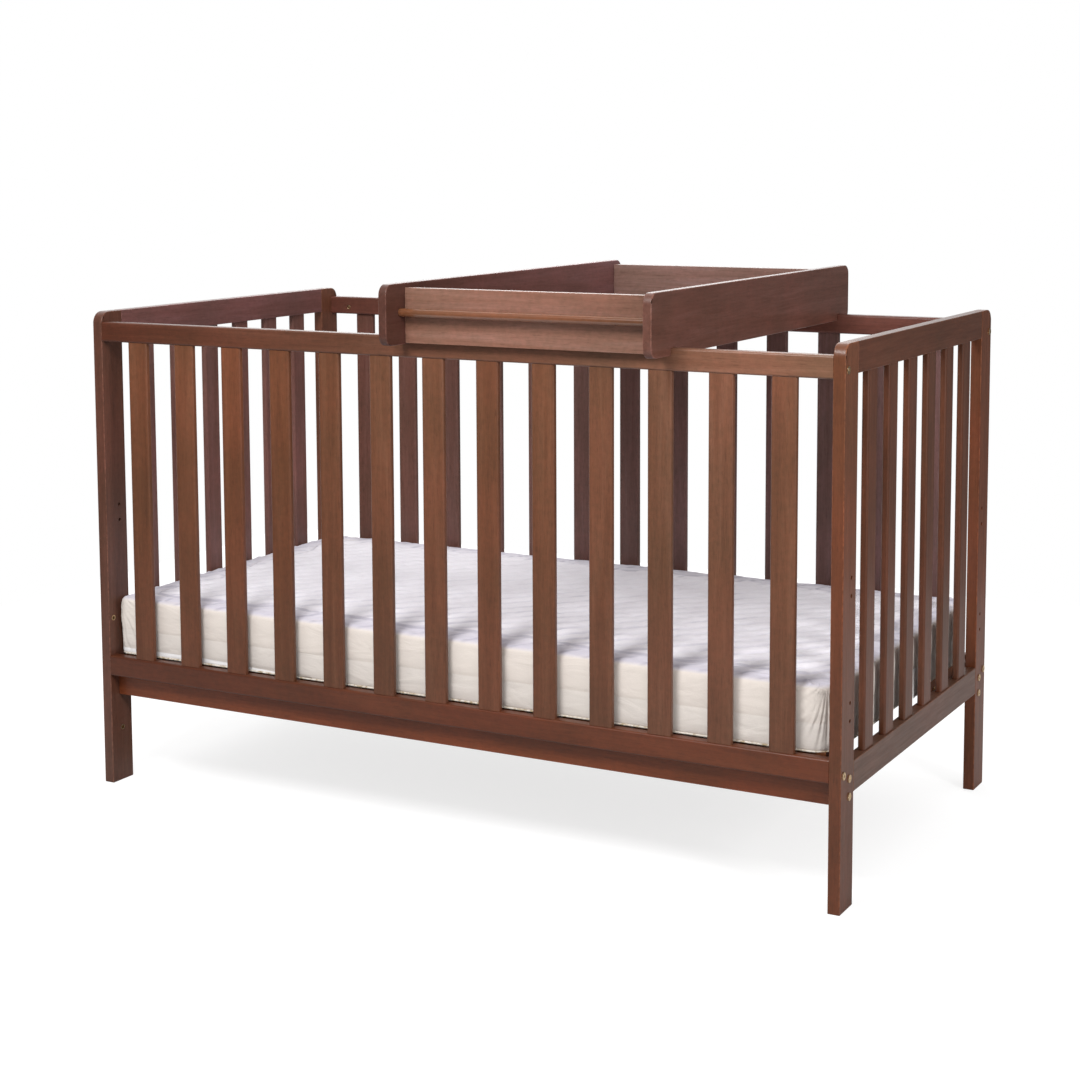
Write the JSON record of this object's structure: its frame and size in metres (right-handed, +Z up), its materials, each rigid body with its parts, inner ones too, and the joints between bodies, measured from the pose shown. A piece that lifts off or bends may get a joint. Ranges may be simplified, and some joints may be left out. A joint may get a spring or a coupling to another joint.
{
  "type": "cot bed with changing tray",
  "caption": "Slatted wooden cot bed with a quilted mattress on a slatted base and a changing tray that lifts off its side rails.",
  "frame": {"origin": "on the floor, under the middle of the model's box", "axes": "+X along the bed to the right end, +Y from the front side to the rear side, +Z up"},
  "size_m": [1.453, 0.868, 0.954],
  "materials": {
    "walnut": "reddish walnut stain, satin",
    "walnut_end": "walnut stain, satin",
    "rod": "walnut stain, glossy",
    "brass": "satin",
    "mattress_cover": "quilted cotton cover",
    "dowel": "raw beech"
  },
  "bodies": {
    "bed": {"post_front_left": "walnut", "post_front_right": "walnut", "post_rear_left": "walnut", "post_rear_right": "walnut", "front_top_rail": "walnut", "front_bottom_rail": "walnut", "rear_top_rail": "walnut", "rear_bottom_rail": "walnut", "base_front_rail": "walnut", "base_rear_rail": "walnut", "base_slats": "walnut", "left_top_rail": "walnut_end", "left_bottom_rail": "walnut_end", "right_top_rail": "walnut_end", "right_bottom_rail": "walnut_end", "left_end_slats": "walnut_end", "right_end_slats": "walnut_end", "front_slat_1": "walnut", "front_slat_2": "walnut", "front_slat_3": "walnut", "front_slat_4": "walnut", "front_slat_5": "walnut", "front_slat_6": "walnut", "front_slat_7": "walnut", "front_slat_8": "walnut", "front_slat_9": "walnut", "front_slat_10": "walnut", "front_slat_11": "walnut", "front_slat_12": "walnut", "front_slat_13": "walnut", "rear_slat_1": "walnut", "rear_slat_2": "walnut", "rear_slat_3": "walnut", "rear_slat_4": "walnut", "rear_slat_5": "walnut", "rear_slat_6": "walnut", "rear_slat_7": "walnut", "rear_slat_8": "walnut", "rear_slat_9": "walnut", "rear_slat_10": "walnut", "rear_slat_11": "walnut", "rear_slat_12": "walnut", "rear_slat_13": "walnut", "base_slat_screws": "brass", "side_rail_bolts": "brass", "side_rail_barrel_nuts": "brass", "base_bolts": "brass", "base_barrel_nuts": "brass", "insert_rings": "brass", "end_panel_dowels": "dowel"},
    "changer": {"changer_left_board": "walnut", "changer_right_board": "walnut", "changer_front_board": "walnut", "changer_rear_board": "walnut", "changer_bottom_panel": "walnut", "changer_rod": "rod", "changer_dowels": "dowel"},
    "mattress": {"mattress": "mattress_cover"}
  },
  "joints": [
    {"name": "changer_lift", "type": "slide", "parent": "bed", "child": "changer", "axis": [0, 0, 1], "range_m": [0, 0.2]},
    {"name": "mattress_lift", "type": "slide", "parent": "bed", "child": "mattress", "axis": [0, 0, 1], "range_m": [0, 0.48]}
  ]
}
